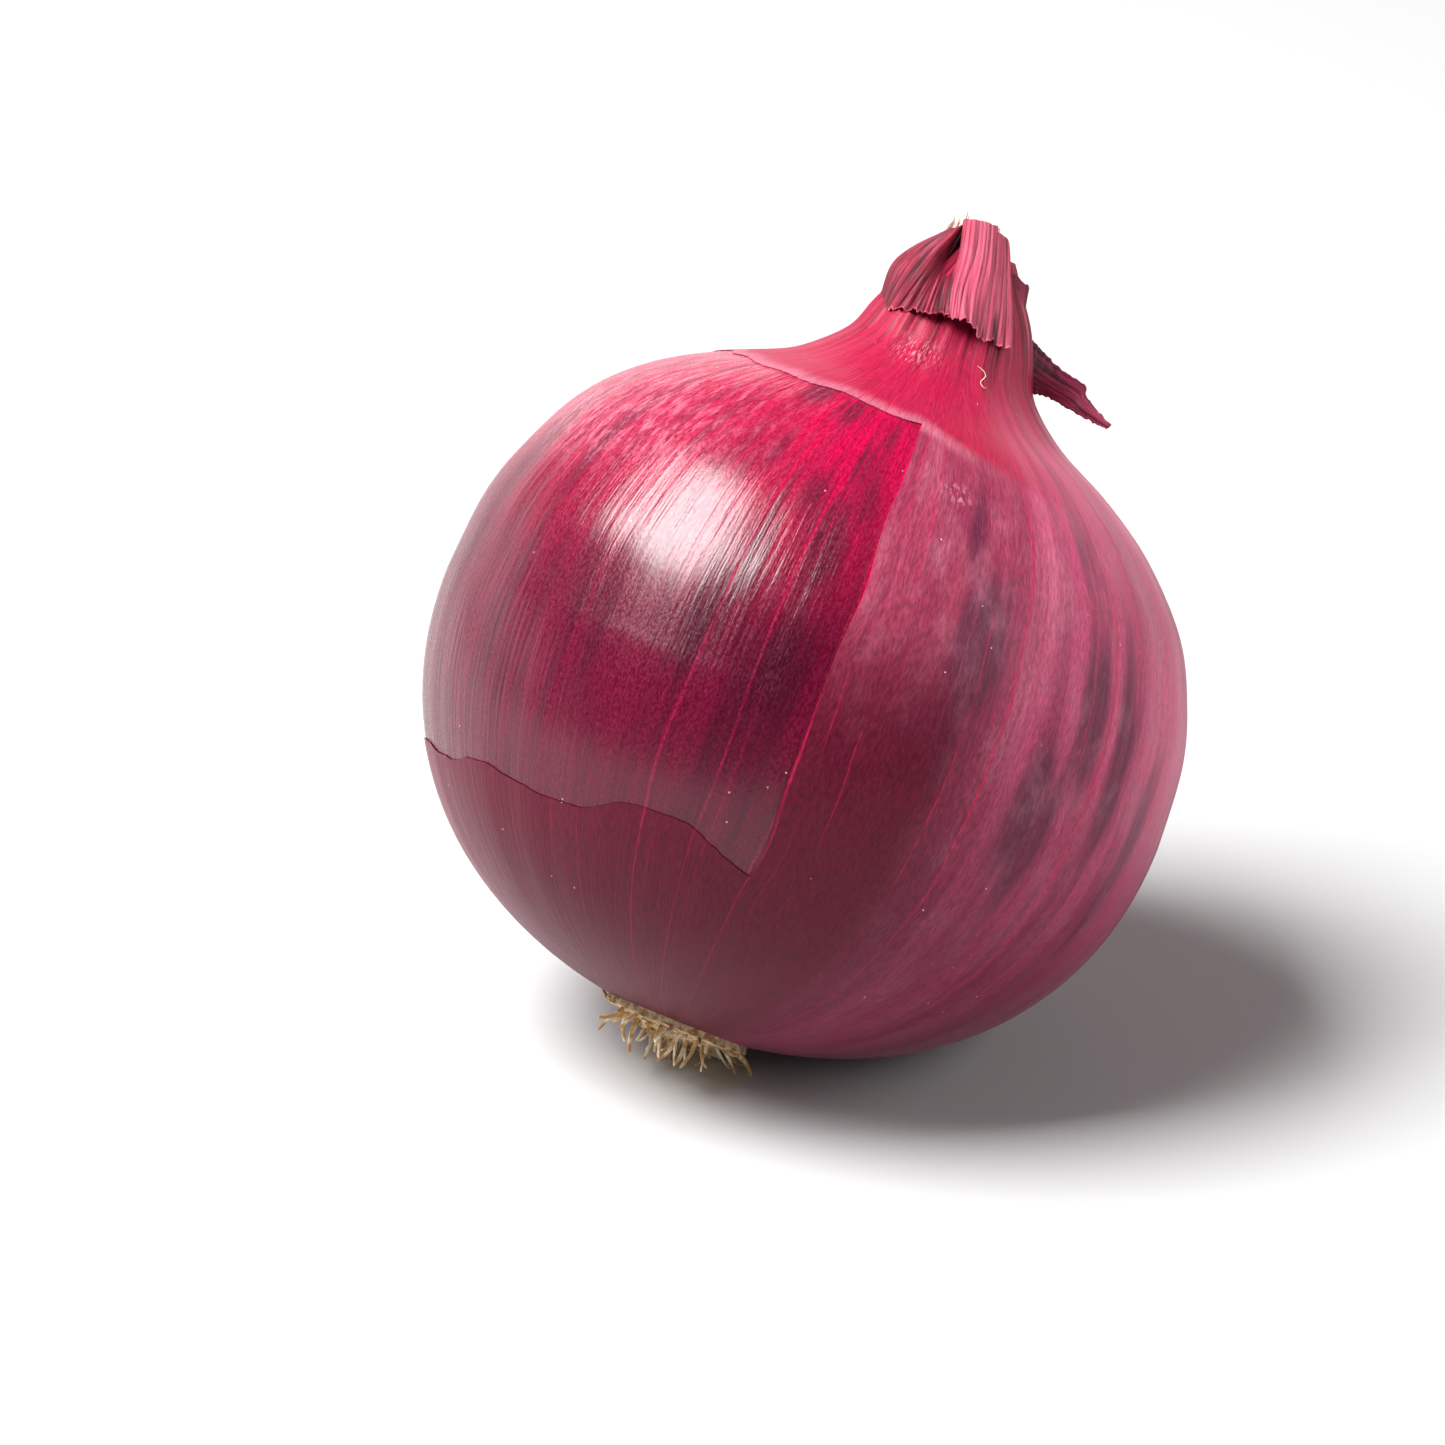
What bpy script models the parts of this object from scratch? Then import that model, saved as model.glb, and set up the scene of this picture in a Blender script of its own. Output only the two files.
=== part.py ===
"""A whole red onion with its papery outer skin and the dry leaf remains at its neck.

The onion lies as it comes to rest: it leans back and to the right, and stands on a small flat
spot on its underside. The origin is the middle of that spot, in metres, with +Z up and the
onion's front towards -Y.

Each sub-part is modelled upright in the onion's own frame, where Z is the onion's axis with its
height 0 at the widest ring, and -Y is the front. An empty then leans them all.
"""

import math

import bmesh
import bpy
from mathutils import Matrix, Vector

MM = 0.001

# How the onion lies
LEAN_BACK = math.radians(23.0)
LEAN_RIGHT = math.radians(21.7)
FLAT_DEPTH = 1.5 * MM  # how much of the round underside is pressed flat

# The outside of the dry skin: the widest ring, the belly below it and the root plate
WIDEST_RADIUS = 38.0 * MM
BELLY_DEPTH = 34.0 * MM
BELLY_FULLNESS = 0.95  # 1 is an ellipse, and less is squarer
BELLY_STEPS = 14
FINE_STEPS = 200  # to find where the belly touches the surface
PLATE_RADIUS = 7.0 * MM
PLATE_SUNK = 0.8 * MM

# Shoulder and neck: height above the widest ring and radius, in millimetres, from the top down
SHOULDER = (
    (48.5, 3.0),
    (46.0, 4.8),
    (43.0, 6.9),
    (40.0, 8.35),
    (36.5, 9.9),
    (33.0, 14.2),
    (29.8, 20.6),
    (25.8, 26.6),
    (20.0, 32.3),
    (14.0, 35.5),
    (8.0, 37.35),
    (0.0, 38.0),
)
SHOULDER_STEPS = 2  # rings to each of these heights
CORE_TIP = ((50.0, 0.0), (49.7, 1.3), (49.1, 2.0))  # the dry end of the neck's core

# Skins
GAP = 0.3 * MM
SKIN_THICKNESS = 0.35 * MM
SEGMENTS = 44

# The opening torn in the outer skin: its two sides as angles from the front, and its ends
TEAR_LEFT = math.radians(-112.0)
TEAR_RIGHT = math.radians(1.6)
TEAR_TOP = 30.0 * MM
TEAR_BOTTOM = -17.0 * MM
TEAR_REACH = (0.3 * WIDEST_RADIUS, 1.3 * WIDEST_RADIUS)  # from inside the skin to outside it
TEAR_STEPS = 16

# The collar round the front of the neck
COLLAR_LEFT = math.radians(-64.0)
COLLAR_RIGHT = math.radians(62.0)
COLLAR_BOTTOM = 40.2 * MM
COLLAR_TOP = 50.6 * MM
COLLAR_STANDS_LEFT = 2.4 * MM  # how far its torn hem stands off the neck, at its two ends
COLLAR_STANDS_RIGHT = 1.4 * MM
COLLAR_STANDS_TOP = 0.9 * MM
COLLAR_GRID = (28, 8)
HEM_RAGGED = 0.5 * MM
HEM_WAVES = (9.0, 23.0)  # two waves that don't fit each other make the hem uneven
PLEATS = 7
PLEAT_DEPTH = 0.3 * MM

# The sheath round the left and the back of the neck
SHEATH_FRONT = math.radians(-69.0)
SHEATH_BACK = math.radians(-207.0)
SHEATH_BOTTOM = 41.0 * MM
SHEATH_TOP = 47.2 * MM
SHEATH_STANDS_BOTTOM = 0.55 * MM
SHEATH_STANDS_TOP = 2.4 * MM
SHEATH_GRID = (30, 5)

# The flap and the scrap: along each, its middle line and its half width, in millimetres
FLAP_LINE = ((9.4, 1.2, 40.0), (11.5, 2.0, 39.4), (14.5, 1.8, 38.3), (18.1, 0.9, 37.1))
FLAP_HALF_WIDTH = (2.3, 2.2, 1.7, 0.3)
FLAP_ACROSS = (-0.35, 0.0, 0.94)
SCRAP_LINE = ((7.3, 4.2, 42.6), (6.6, 3.8, 44.2), (5.8, 3.4, 45.9), (5.0, 2.9, 47.4))
SCRAP_HALF_WIDTH = (0.6, 0.8, 0.8, 0.3)
SCRAP_ACROSS = (0.86, 0.5, 0.0)
TONGUE_STEPS = 4  # columns between two points of a middle line
TONGUE_ROWS = 3

# Colours (linear), roughness
CRIMSON = (0.33, 0.008, 0.045)
PINK_SKIN = (0.38, 0.045, 0.085)
WINE = (0.16, 0.016, 0.035)


def smooth_line(points, steps):
    """Points of a smooth curve through the given ones, with some steps between each two."""
    padded = [points[0], *points, points[-1]]
    line = []
    for before, start, end, after in zip(padded, padded[1:], padded[2:], padded[3:]):
        for step in range(steps):
            t = step / steps
            line.append(
                start
                + (end - before) * (t / 2)
                + (before * 2 - start * 5 + end * 4 - after) * (t * t / 2)
                + (start * 3 - before - end * 3 + after) * (t ** 3 / 2)
            )
    line.append(points[-1])
    return line


def belly(steps):
    """The skin's outline from below the widest ring to the root plate, as (radius, height)."""
    end = math.acos((PLATE_RADIUS / WIDEST_RADIUS) ** (1 / BELLY_FULLNESS))
    line = []
    for step in range(1, steps + 1):
        angle = end * step / steps
        radius = WIDEST_RADIUS * math.cos(angle) ** BELLY_FULLNESS
        height = -BELLY_DEPTH * math.sin(angle) ** BELLY_FULLNESS
        line.append(Vector((radius, height)))
    return line


def skin_outline():
    """The outside of the dry skin from the neck to the root plate, as (radius, height)."""
    shoulder = [Vector((radius, height)) * MM for height, radius in SHOULDER]
    return smooth_line(shoulder, SHOULDER_STEPS) + belly(BELLY_STEPS)


def inset(line, distance):
    """The outline moved inwards by a distance, across its own direction."""
    moved = []
    for index, point in enumerate(line):
        before = line[max(index - 1, 0)]
        after = line[min(index + 1, len(line) - 1)]
        along = (after - before).normalized()
        moved.append(point + Vector((along.y, -along.x)) * distance)
    return moved


def radius_at(line, height):
    """The outline's radius at a height of the neck or the shoulder."""
    for upper, lower in zip(line, line[1:]):
        if lower.y <= height <= upper.y:
            share = (height - lower.y) / (upper.y - lower.y)
            return lower.x + (upper.x - lower.x) * share
    return line[0].x


def on_ring(angle, radius, height):
    """A point by its angle from the front, to the right, its radius and its height."""
    return Vector((radius * math.sin(angle), -radius * math.cos(angle), height))


def resting_matrix():
    """Leans the onion and sets its belly's lowest point just under the origin."""
    lean = Matrix.Rotation(-LEAN_BACK, 4, "X") @ Matrix.Rotation(LEAN_RIGHT, 4, "Y")
    axis = lean @ Vector((0, 0, 1))
    tilt = axis.angle((0, 0, 1))
    sideways = Vector((axis.x, axis.y, 0)).normalized()

    def depth(point):
        return point.x * math.sin(tilt) - point.y * math.cos(tilt)

    lowest = max(belly(FINE_STEPS), key=depth)
    reach = lowest.y * math.sin(tilt) + lowest.x * math.cos(tilt)
    place = Vector((0, 0, depth(lowest) - FLAT_DEPTH)) - sideways * reach
    return Matrix.Translation(place) @ lean


def clear_scene():
    for item in list(bpy.data.objects):
        bpy.data.objects.remove(item, do_unlink=True)


def new_collection(name):
    collection = bpy.data.collections.new(name)
    bpy.context.scene.collection.children.link(collection)
    return collection


def new_material(name, colour, roughness):
    material = bpy.data.materials.new(name)
    material.use_nodes = True
    shader = material.node_tree.nodes["Principled BSDF"]
    shader.inputs["Base Color"].default_value = (*colour, 1)
    shader.inputs["Roughness"].default_value = roughness
    shader.inputs["Metallic"].default_value = 0.0
    return material


def new_object(name, bm, collection, parent):
    mesh = bpy.data.meshes.new(name)
    bm.to_mesh(mesh)
    bm.free()
    item = bpy.data.objects.new(name, mesh)
    item.parent = parent
    collection.objects.link(item)
    return item


def outline_mesh(line):
    """A bmesh of one open line in the XZ plane."""
    bm = bmesh.new()
    verts = [bm.verts.new((point.x, 0, point.y)) for point in line]
    for first, second in zip(verts, verts[1:]):
        bm.edges.new((first, second))
    return bm


def turn(item):
    """Turns an outline about the onion's axis."""
    screw = item.modifiers.new("turn", "SCREW")
    screw.steps = screw.render_steps = SEGMENTS
    screw.use_merge_vertices = True
    screw.merge_threshold = 0.00001
    screw.use_smooth_shade = True


def thicken(item, thickness, offset):
    solidify = item.modifiers.new("thickness", "SOLIDIFY")
    solidify.thickness = thickness
    solidify.offset = offset
    solidify.use_even_offset = True


def cut(item, cutter):
    boolean = item.modifiers.new("cut_" + cutter.name, "BOOLEAN")
    boolean.operation = "DIFFERENCE"
    boolean.solver = "EXACT"
    boolean.object = cutter


def as_cutter(item):
    item.hide_render = True
    item.display_type = "WIRE"
    return item


def make_floor_cutter(collection):
    """Everything under the surface that the onion rests on."""
    side = 4 * WIDEST_RADIUS
    bm = bmesh.new()
    bmesh.ops.create_cube(bm, size=side)
    bmesh.ops.translate(bm, verts=bm.verts, vec=(0, 0, -side / 2))
    return as_cutter(new_object("floor_cutter", bm, collection, None))


def make_tear_cutter(collection, parent):
    """A wedge round the axis, over the opening torn in the outer skin."""
    near, far = TEAR_REACH
    corners = ((near, TEAR_BOTTOM), (far, TEAR_BOTTOM), (far, TEAR_TOP), (near, TEAR_TOP))
    bm = bmesh.new()
    section = [bm.verts.new(on_ring(TEAR_LEFT, *corner)) for corner in corners]
    bm.faces.new(section)
    bmesh.ops.spin(
        bm,
        geom=bm.verts[:] + bm.edges[:] + bm.faces[:],
        axis=(0, 0, 1),
        cent=(0, 0, 0),
        angle=TEAR_RIGHT - TEAR_LEFT,
        steps=TEAR_STEPS,
        use_duplicate=False,
    )
    bmesh.ops.recalc_face_normals(bm, faces=bm.faces)
    return as_cutter(new_object("tear_cutter", bm, collection, parent))


def make_bulb(outline, collection, parent, floor):
    tip = [Vector((radius, height)) * MM for height, radius in CORE_TIP]
    flesh = inset(outline, SKIN_THICKNESS + GAP)
    plate = Vector((0, flesh[-1].y + PLATE_SUNK))
    bulb = new_object("bulb", outline_mesh([*tip, *flesh, plate]), collection, parent)
    turn(bulb)
    cut(bulb, floor)
    bulb.data.materials.append(new_material("glossy_skin", CRIMSON, 0.3))
    return bulb


def make_outer_skin(outline, collection, parent, tear, floor):
    inside = inset(outline, SKIN_THICKNESS)
    skin = new_object("outer_skin", outline_mesh(inside), collection, parent)
    turn(skin)
    thicken(skin, SKIN_THICKNESS, 1)
    cut(skin, tear)
    cut(skin, floor)
    skin.data.materials.append(new_material("papery_skin", PINK_SKIN, 0.45))
    return skin


def make_sheet(name, columns, rows, place, collection, parent):
    """A dry skin: a grid whose points are placed by a function of their two shares."""
    bm = bmesh.new()
    bmesh.ops.create_grid(bm, x_segments=columns, y_segments=rows, size=0.5)
    for vert in bm.verts:
        vert.co = place(vert.co.x + 0.5, vert.co.y + 0.5)
    bmesh.ops.recalc_face_normals(bm, faces=bm.faces)
    sheet = new_object(name, bm, collection, parent)
    thicken(sheet, SKIN_THICKNESS, 0)
    return sheet


def make_collar(outline, collection, parent):
    def place(across, up):
        angle = COLLAR_LEFT + (COLLAR_RIGHT - COLLAR_LEFT) * across
        wave = math.sin(HEM_WAVES[0] * across) * math.cos(HEM_WAVES[1] * across)
        hem = COLLAR_BOTTOM + HEM_RAGGED * wave
        height = hem + (COLLAR_TOP - hem) * up
        stands = COLLAR_STANDS_LEFT + (COLLAR_STANDS_RIGHT - COLLAR_STANDS_LEFT) * across
        stands += (COLLAR_STANDS_TOP - stands) * up ** 2
        pleat = PLEAT_DEPTH * (1 - up / 2) * math.sin(2 * math.pi * PLEATS * across)
        return on_ring(angle, radius_at(outline, height) + stands + pleat, height)

    collar = make_sheet("neck_collar", *COLLAR_GRID, place, collection, parent)
    collar.data.materials.append(new_material("collar_skin", PINK_SKIN, 0.5))
    return collar


def make_sheath(outline, collection, parent):
    def place(across, up):
        angle = SHEATH_FRONT + (SHEATH_BACK - SHEATH_FRONT) * across
        height = SHEATH_BOTTOM + (SHEATH_TOP - SHEATH_BOTTOM) * up
        stands = SHEATH_STANDS_BOTTOM + (SHEATH_STANDS_TOP - SHEATH_STANDS_BOTTOM) * up
        return on_ring(angle, radius_at(outline, height) + stands, height)

    sheath = make_sheet("neck_sheath", *SHEATH_GRID, place, collection, parent)
    sheath.data.materials.append(new_material("sheath_skin", PINK_SKIN, 0.5))
    return sheath


def make_tongue(name, line, half_widths, across, collection, parent):
    """A pointed sheet along a middle line, as wide each side of it as the half widths say."""
    middle = smooth_line([Vector(point) * MM for point in line], TONGUE_STEPS)
    halves = smooth_line([Vector((half, 0, 0)) * MM for half in half_widths], TONGUE_STEPS)
    last = len(middle) - 1
    aside = Vector(across).normalized()

    def place(along, share):
        index = round(along * last)
        return middle[index] + aside * (halves[index].x * (2 * share - 1))

    tongue = make_sheet(name, last, TONGUE_ROWS, place, collection, parent)
    tongue.data.materials.append(new_material(name + "_skin", WINE, 0.5))
    return tongue


def build():
    clear_scene()
    parts = new_collection("onion")
    cutters = new_collection("cutters")
    outline = skin_outline()
    axis = bpy.data.objects.new("onion_axis", None)
    parts.objects.link(axis)
    axis.matrix_world = resting_matrix()
    floor = make_floor_cutter(cutters)
    tear = make_tear_cutter(cutters, axis)
    make_bulb(outline, parts, axis, floor)
    make_outer_skin(outline, parts, axis, tear, floor)
    make_collar(outline, parts, axis)
    make_sheath(outline, parts, axis)
    make_tongue("skin_flap", FLAP_LINE, FLAP_HALF_WIDTH, FLAP_ACROSS, parts, axis)
    make_tongue("neck_scrap", SCRAP_LINE, SCRAP_HALF_WIDTH, SCRAP_ACROSS, parts, axis)


build()
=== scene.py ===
"""Looks of a whole red onion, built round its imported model.

The bulb's tight glossy skin shows through a tear in the papery outer skin. Dry leaf remains stand
at the neck, and clipped roots at the root plate. Every piece is shaped upright in the onion's own
frame, where Z is the onion's axis with height 0 at the widest ring and -Y is the front, and is
then leaned to where the model lies.
"""

import math
import random

import bmesh
import bpy
from mathutils import Matrix, Vector, noise


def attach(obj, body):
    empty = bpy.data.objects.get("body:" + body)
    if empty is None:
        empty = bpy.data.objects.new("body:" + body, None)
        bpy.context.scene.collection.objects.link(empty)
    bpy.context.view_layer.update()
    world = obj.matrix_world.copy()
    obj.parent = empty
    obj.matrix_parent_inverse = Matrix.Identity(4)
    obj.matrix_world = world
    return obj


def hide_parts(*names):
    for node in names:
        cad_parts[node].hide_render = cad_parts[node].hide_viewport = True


bl_info = {
    "name": "Red Onion",
    "version": (1, 0, 0),
    "blender": (4, 5, 0),
    "location": "3D View > Sidebar > Onion",
    "description": "A whole red onion with its dry skins, neck and roots",
    "category": "Object",
}

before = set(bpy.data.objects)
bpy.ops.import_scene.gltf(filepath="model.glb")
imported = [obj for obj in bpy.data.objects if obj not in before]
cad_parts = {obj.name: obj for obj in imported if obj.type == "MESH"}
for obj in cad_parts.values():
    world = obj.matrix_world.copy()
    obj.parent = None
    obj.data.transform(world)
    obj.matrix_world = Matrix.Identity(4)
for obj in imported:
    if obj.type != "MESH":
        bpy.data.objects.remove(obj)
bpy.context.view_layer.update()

MM = 0.001
LEAN_BACK = math.radians(23.0)
LEAN_RIGHT = math.radians(21.7)
FLAT_DEPTH = 1.5 * MM

# The outside of the dry skin, as in the model: height above the widest ring and radius, in mm
SHOULDER = (
    (48.5, 3.0),
    (46.0, 4.8),
    (43.0, 6.9),
    (40.0, 8.35),
    (36.5, 9.9),
    (33.0, 14.2),
    (29.8, 20.6),
    (25.8, 26.6),
    (20.0, 32.3),
    (14.0, 35.5),
    (8.0, 37.35),
    (0.0, 38.0),
)
BELLY_DEPTH = 34.0 * MM
BELLY_FULLNESS = 0.95
BELLY_STEPS = 60
PLATE_RADIUS = 7.0 * MM
CORE_TIP = ((50.0, 0.0), (49.9, 0.6), (49.6, 1.3), (49.1, 2.0))
CORE_FOOT = 48.8 * MM

# How closely the turned surfaces are divided: round the axis, and along the outline
BULB_COLUMNS, BULB_SPACING = 288, 0.55 * MM
SKIN_COLUMNS, SKIN_SPACING = 270, 0.62 * MM
SKIN_GAP = 0.02 * MM
BULB_CLEARANCE = 0.25 * MM
PLATE_SUNK = 0.8 * MM

# How far the camera looks left of and below the widest ring's middle
AIM_LEFT = 7.99 * MM
AIM_LOW = 1.64 * MM

# Edges that bend more than this are shaded as sharp
SHARP_ANGLE = math.radians(50.0)

# The tear in the outer skin
TEAR_LEFT = math.radians(-112.0)
TEAR_RIGHT = math.radians(1.6)
TEAR_TOP = 29.9 * MM
TEAR_BOTTOM = -17.0 * MM
# How fast the ledge over the tear drops to the right of the front, in mm per radian
LEDGE_FALL = 4.4

# Bright veins that run from the root to the neck, as angles from the front
MAIN_VEINS = (1.6, 29.5, 50.5, -18.0, -9.1)


def linear(hex_colour):
    """An sRGB hex colour as linear red, green, blue and alpha."""
    channels = [int(hex_colour[i : i + 2], 16) / 255 for i in (1, 3, 5)]
    return (*[c / 12.92 if c <= 0.04045 else ((c + 0.055) / 1.055) ** 2.4 for c in channels], 1.0)


class OnionShape(bpy.types.PropertyGroup):
    """Sizes of the onion."""

    widest_radius: bpy.props.FloatProperty(
        name="Widest radius",
        description="Radius of the outer skin at its widest ring",
        default=0.038,
        unit="LENGTH",
    )
    skin_thickness: bpy.props.FloatProperty(
        name="Skin thickness",
        description="Thickness of the papery outer skin",
        default=0.00006,
        unit="LENGTH",
    )
    leaf_thickness: bpy.props.FloatProperty(
        name="Leaf thickness",
        description="Thickness of the dry leaf remains at the neck",
        default=0.0001,
        unit="LENGTH",
    )
    root_count: bpy.props.IntProperty(
        name="Roots",
        description="How many clipped roots stand on the root plate",
        default=90,
        min=0,
    )
    view_width: bpy.props.FloatProperty(
        name="View width",
        description="Width that the camera sees at the onion's middle",
        default=0.14335,
        unit="LENGTH",
    )
    view_distance: bpy.props.FloatProperty(
        name="View distance",
        description="How far the camera stands from the onion",
        default=1.6,
        unit="LENGTH",
    )


class OnionColours(bpy.types.PropertyGroup):
    """Colours of the onion, linear."""

    crimson: bpy.props.FloatVectorProperty(
        name="Crimson",
        description="Bright colour of the glossy skin",
        default=linear("#AE023A"),
        size=4,
        subtype="COLOR",
    )
    # The glossy skin's streaks turn to this colour towards the bottom, where painted shade darkens
    # them.
    wine: bpy.props.FloatVectorProperty(
        name="Wine",
        description="Dark colour of the glossy skin's streaks",
        default=linear("#3E061C"),
        size=4,
        subtype="COLOR",
    )
    rose: bpy.props.FloatVectorProperty(
        name="Rose",
        description="Main colour of the papery skin",
        default=linear("#8A3048"),
        size=4,
        subtype="COLOR",
    )
    plum: bpy.props.FloatVectorProperty(
        name="Plum",
        description="Colour of the papery skin's dark stains",
        default=linear("#4E2036"),
        size=4,
        subtype="COLOR",
    )


def shape():
    """The onion's sizes, as set in the scene."""
    return bpy.context.scene.onion_shape


def colours():
    """The onion's colours, as set in the scene."""
    return bpy.context.scene.onion_colours


# ---------------------------------------------------------------------------------------------
# The onion's form


def curve_point(before, start, end, after, t):
    """A point on the smooth curve from start to end, at a share t of its way."""
    return (
        start
        + (end - before) * (t / 2)
        + (before * 2 - start * 5 + end * 4 - after) * (t * t / 2)
        + (start * 3 - before - end * 3 + after) * (t ** 3 / 2)
    )


def smooth_line(points, steps):
    """Points of a smooth curve through the given ones, with some steps between each two."""
    padded = [points[0], *points, points[-1]]
    line = []
    for corners in zip(padded, padded[1:], padded[2:], padded[3:]):
        for step in range(steps):
            line.append(curve_point(*corners, step / steps))
    line.append(points[-1])
    return line


def ease(value, low, high):
    """0 below low, 1 above high and smooth between."""
    share = min(max((value - low) / (high - low), 0.0), 1.0)
    return share * share * (3 - 2 * share)


def belly(steps):
    """The outline below the widest ring, as (radius, height)."""
    widest = shape().widest_radius
    end = math.acos((PLATE_RADIUS / widest) ** (1 / BELLY_FULLNESS))
    line = []
    for step in range(1, steps + 1):
        angle = end * step / steps
        radius = widest * math.cos(angle) ** BELLY_FULLNESS
        line.append(Vector((radius, -BELLY_DEPTH * math.sin(angle) ** BELLY_FULLNESS)))
    return line


def skin_outline(steps=8):
    shoulder = [Vector((radius, height)) * MM for height, radius in SHOULDER]
    return smooth_line(shoulder, steps) + belly(BELLY_STEPS)


def radius_at(line, height):
    """The outline's radius at a height."""
    for upper, lower in zip(line, line[1:]):
        if lower.y <= height <= upper.y:
            share = (height - lower.y) / max(upper.y - lower.y, 1e-9)
            return lower.x + (upper.x - lower.x) * share
    return line[0].x if height > line[0].y else line[-1].x


def inset(line, distance):
    """The outline moved towards the axis by a distance."""
    moved = []
    for index, point in enumerate(line):
        before = line[max(index - 1, 0)]
        after = line[min(index + 1, len(line) - 1)]
        along = (after - before).normalized()
        moved.append(point + Vector((along.y, -along.x)) * distance)
    return moved


def evenly(line, spacing):
    """The same line with its points a spacing apart."""
    points = [line[0]]
    left = spacing
    for start, end in zip(line, line[1:]):
        length = (end - start).length
        while length >= left:
            start = start + (end - start) * (left / length)
            length -= left
            points.append(start)
            left = spacing
        left -= length
    points.append(line[-1])
    return points


def on_ring(angle, radius, height):
    return Vector((radius * math.sin(angle), -radius * math.cos(angle), height))


def lean_matrix():
    """Leans the onion and sets its belly's lowest point just under the origin."""
    lean = Matrix.Rotation(-LEAN_BACK, 4, "X") @ Matrix.Rotation(LEAN_RIGHT, 4, "Y")
    axis = lean @ Vector((0, 0, 1))
    tilt = axis.angle((0, 0, 1))
    sideways = Vector((axis.x, axis.y, 0)).normalized()

    def depth(point):
        return point.x * math.sin(tilt) - point.y * math.cos(tilt)

    lowest = max(belly(200), key=depth)
    reach = lowest.y * math.sin(tilt) + lowest.x * math.cos(tilt)
    place = Vector((0, 0, depth(lowest) - FLAT_DEPTH)) - sideways * reach
    return Matrix.Translation(place) @ lean


def relief(angle, height):
    """How far the onion's surface stands out from its turned outline: broad lobes, flutes that
    run from root to neck, a fuller left shoulder and the wrinkles of the drying neck."""
    x, y = math.sin(angle), -math.cos(angle)
    up = height / MM
    lobes = 0.35 * noise.noise(Vector((x * 1.6, y * 1.6, up / 60 + 3.1)))
    flutes = 0.16 * noise.noise(Vector((x * 7.0, y * 7.0, up / 70 + 7.7)))
    flutes += 0.06 * noise.noise(Vector((x * 17.0, y * 17.0, up / 50 + 1.3)))
    left = max(0.0, -x) ** 2
    shoulder = 0.75 * left * math.exp(-(((up - 24.5) / 5.0) ** 2))
    shoulder -= 0.7 * left * math.exp(-(((up - 32.0) / 2.2) ** 2))
    neck = ease(up, 30.0, 42.0)
    wrinkles = neck * 0.42 * noise.noise(Vector((x * 5.5, y * 5.5, up / 22 + 5.0)))
    wrinkles += neck * 0.2 * noise.noise(Vector((x * 12.0, y * 12.0, up / 14 + 9.0)))
    fade = ease(up, -32.8, -24.0)
    return MM * (fade * (lobes + flutes + shoulder) + wrinkles)


def rest_on_floor(point, clearance):
    """Presses a point that would lie lower than a clearance over the floor up to it, softly."""
    soft = 0.4 * MM
    over = point.z - clearance
    point.z = clearance + (over + math.sqrt(over * over + soft * soft)) / 2
    return point


def turned(line, columns, start):
    """A bmesh surface turned from an outline, starting at an angle."""
    bm = bmesh.new()
    verts = [bm.verts.new(on_ring(start, p.x, p.y)) for p in line]
    for first, second in zip(verts, verts[1:]):
        bm.edges.new((first, second))
    bmesh.ops.spin(
        bm,
        geom=bm.verts[:] + bm.edges[:],
        axis=(0, 0, 1),
        cent=(0, 0, 0),
        angle=2 * math.pi,
        steps=columns,
        use_merge=True,
    )
    bmesh.ops.remove_doubles(bm, verts=bm.verts, dist=1e-7)
    bmesh.ops.recalc_face_normals(bm, faces=bm.faces)
    return bm


def face_outwards(bm):
    """Flips a surface whose faces point towards the onion's axis."""
    facing = sum(f.normal.xy.dot(f.calc_center_median().xy) for f in bm.faces)
    if facing < 0:
        bmesh.ops.reverse_faces(bm, faces=bm.faces)


def turn_outwards(bm):
    """Flips each closed part of a mesh whose faces point inwards."""
    waiting = set(bm.faces)
    while waiting:
        part, queue = [], [waiting.pop()]
        while queue:
            face = queue.pop()
            part.append(face)
            for edge in face.edges:
                for other in edge.link_faces:
                    if other in waiting:
                        waiting.remove(other)
                        queue.append(other)
        volume = 0.0
        for face in part:
            first, *others = [vert.co for vert in face.verts]
            for second, third in zip(others, others[1:]):
                volume += first.dot(second.cross(third))
        if volume < 0:
            bmesh.ops.reverse_faces(bm, faces=part)


def finish_piece(bm, name, material, replaces=()):
    """Makes the object from a leaned bmesh and hangs it on the frame."""
    turn_outwards(bm)
    for face in bm.faces:
        face.smooth = True
    for edge in bm.edges:
        edge.smooth = edge.calc_face_angle(0.0) < SHARP_ANGLE
    mesh = bpy.data.meshes.new(name)
    bm.to_mesh(mesh)
    bm.free()
    mesh.materials.append(material)
    piece = bpy.data.objects.new(name, mesh)
    bpy.context.scene.collection.objects.link(piece)
    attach(piece, "root")
    if replaces:
        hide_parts(*replaces)
    return piece


def mark_ring(bm):
    """Stores each point's place round and along the onion, for the patterns that follow it."""
    layer = bm.verts.layers.float_vector.new("ring")
    widest = shape().widest_radius
    for vert in bm.verts:
        flat = Vector((vert.co.x, vert.co.y))
        flat = flat.normalized() if flat.length > 1e-9 else Vector((0, -1))
        vert[layer] = Vector((flat.x, flat.y, vert.co.z / widest))


# ---------------------------------------------------------------------------------------------
# Materials


def node(tree, kind, inputs=None, **settings):
    """Adds a node, with its settings, and its inputs from values or other nodes' sockets."""
    made = tree.nodes.new(kind)
    for name, value in settings.items():
        setattr(made, name, value)
    for name, value in (inputs or {}).items():
        if isinstance(value, bpy.types.NodeSocket):
            tree.links.new(value, made.inputs[name])
        else:
            made.inputs[name].default_value = value
    return made


def new_material(name):
    material = bpy.data.materials.new(name)
    material.use_nodes = True
    material.node_tree.nodes.clear()
    return material, material.node_tree


def close_material(tree, inputs):
    """Ends a material with its shader."""
    shader = node(tree, "ShaderNodeBsdfPrincipled", inputs)
    node(tree, "ShaderNodeOutputMaterial", {"Surface": shader.outputs[0]})


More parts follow.
